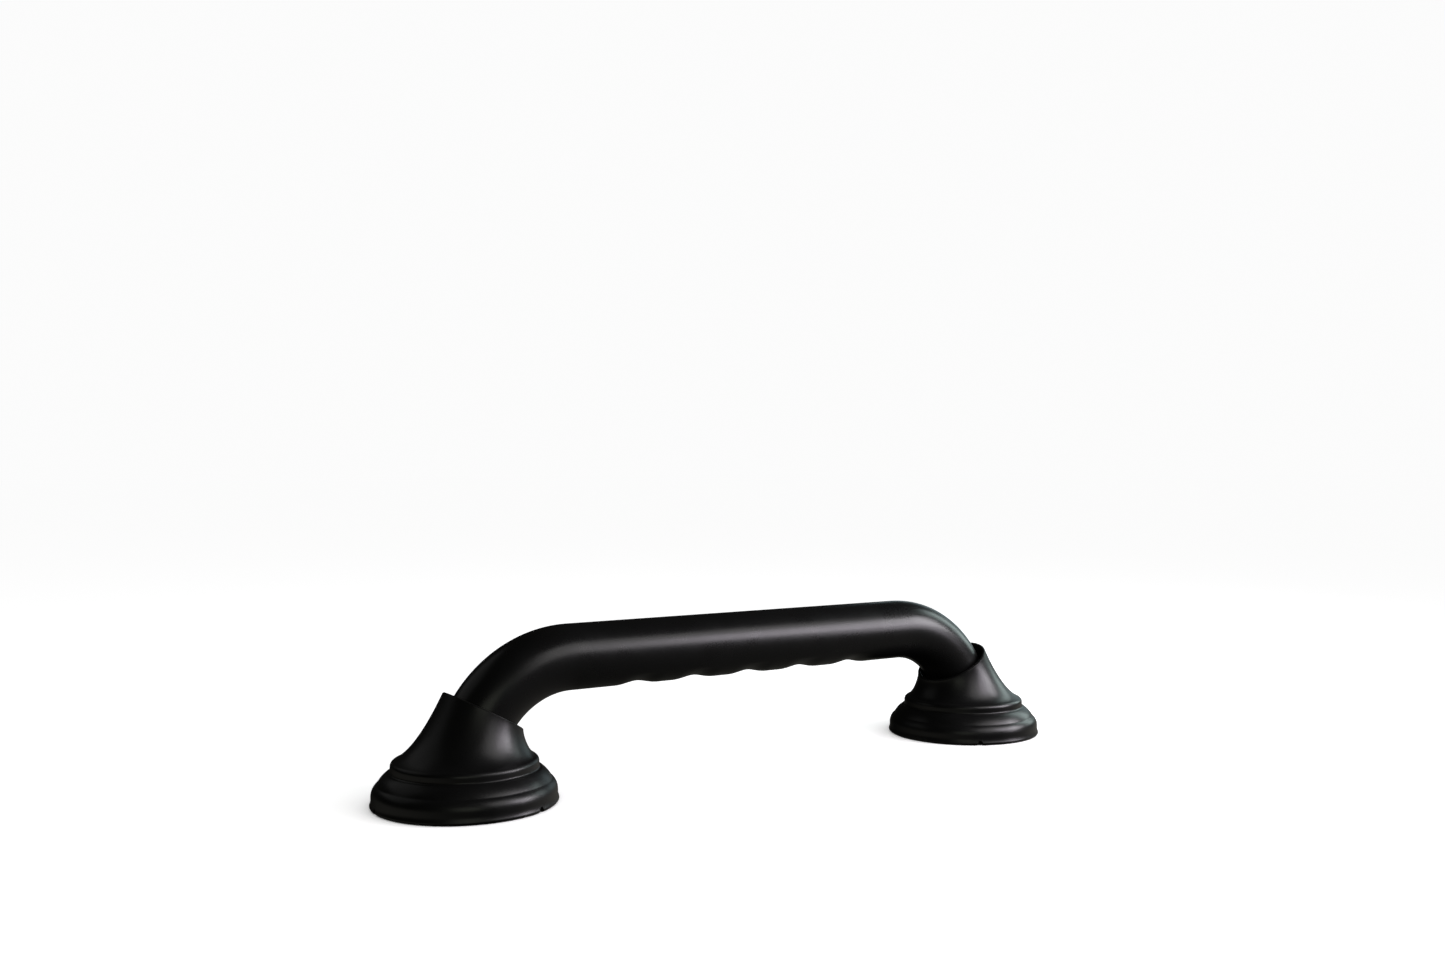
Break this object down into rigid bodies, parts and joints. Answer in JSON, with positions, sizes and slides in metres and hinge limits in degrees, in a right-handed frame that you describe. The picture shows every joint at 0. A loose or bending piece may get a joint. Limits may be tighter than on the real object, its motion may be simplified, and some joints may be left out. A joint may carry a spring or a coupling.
{
  "type": "grab bar",
  "caption": "Short wall-mounted grab bar: bent steel tube with pressed finger grips, round flange plates and stepped covers that hide the screws and slide up the bends.",
  "frame": {"origin": "on the mounting plane, midway between the two feet (bottom centre of the box)", "axes": "+X along the bar, +Z away from the mounting plane towards the hand, +Y completes the frame"},
  "size_m": [0.39, 0.0852, 0.0783],
  "materials": {
    "powder_coat": "satin black powder coat on steel",
    "moulded_cover": "satin black moulded plastic"
  },
  "bodies": {
    "root": {"grip_tube": "powder_coat", "left_flange": "powder_coat", "right_flange": "powder_coat", "left_weld_bead": "powder_coat", "right_weld_bead": "powder_coat"},
    "left_cover_body": {"left_cover": "moulded_cover"},
    "right_cover_body": {"right_cover": "moulded_cover"}
  },
  "joints": [
    {"name": "left_cover_slide_up", "type": "hinge", "parent": "root", "child": "left_cover_body", "pos_m": [-0.1004, 0, 0.0104], "axis": [0, 1, 0], "range_deg": [0, 45]},
    {"name": "right_cover_slide_up", "type": "hinge", "parent": "root", "child": "right_cover_body", "pos_m": [0.1004, 0, 0.0104], "axis": [0, -1, 0], "range_deg": [0, 45]}
  ]
}
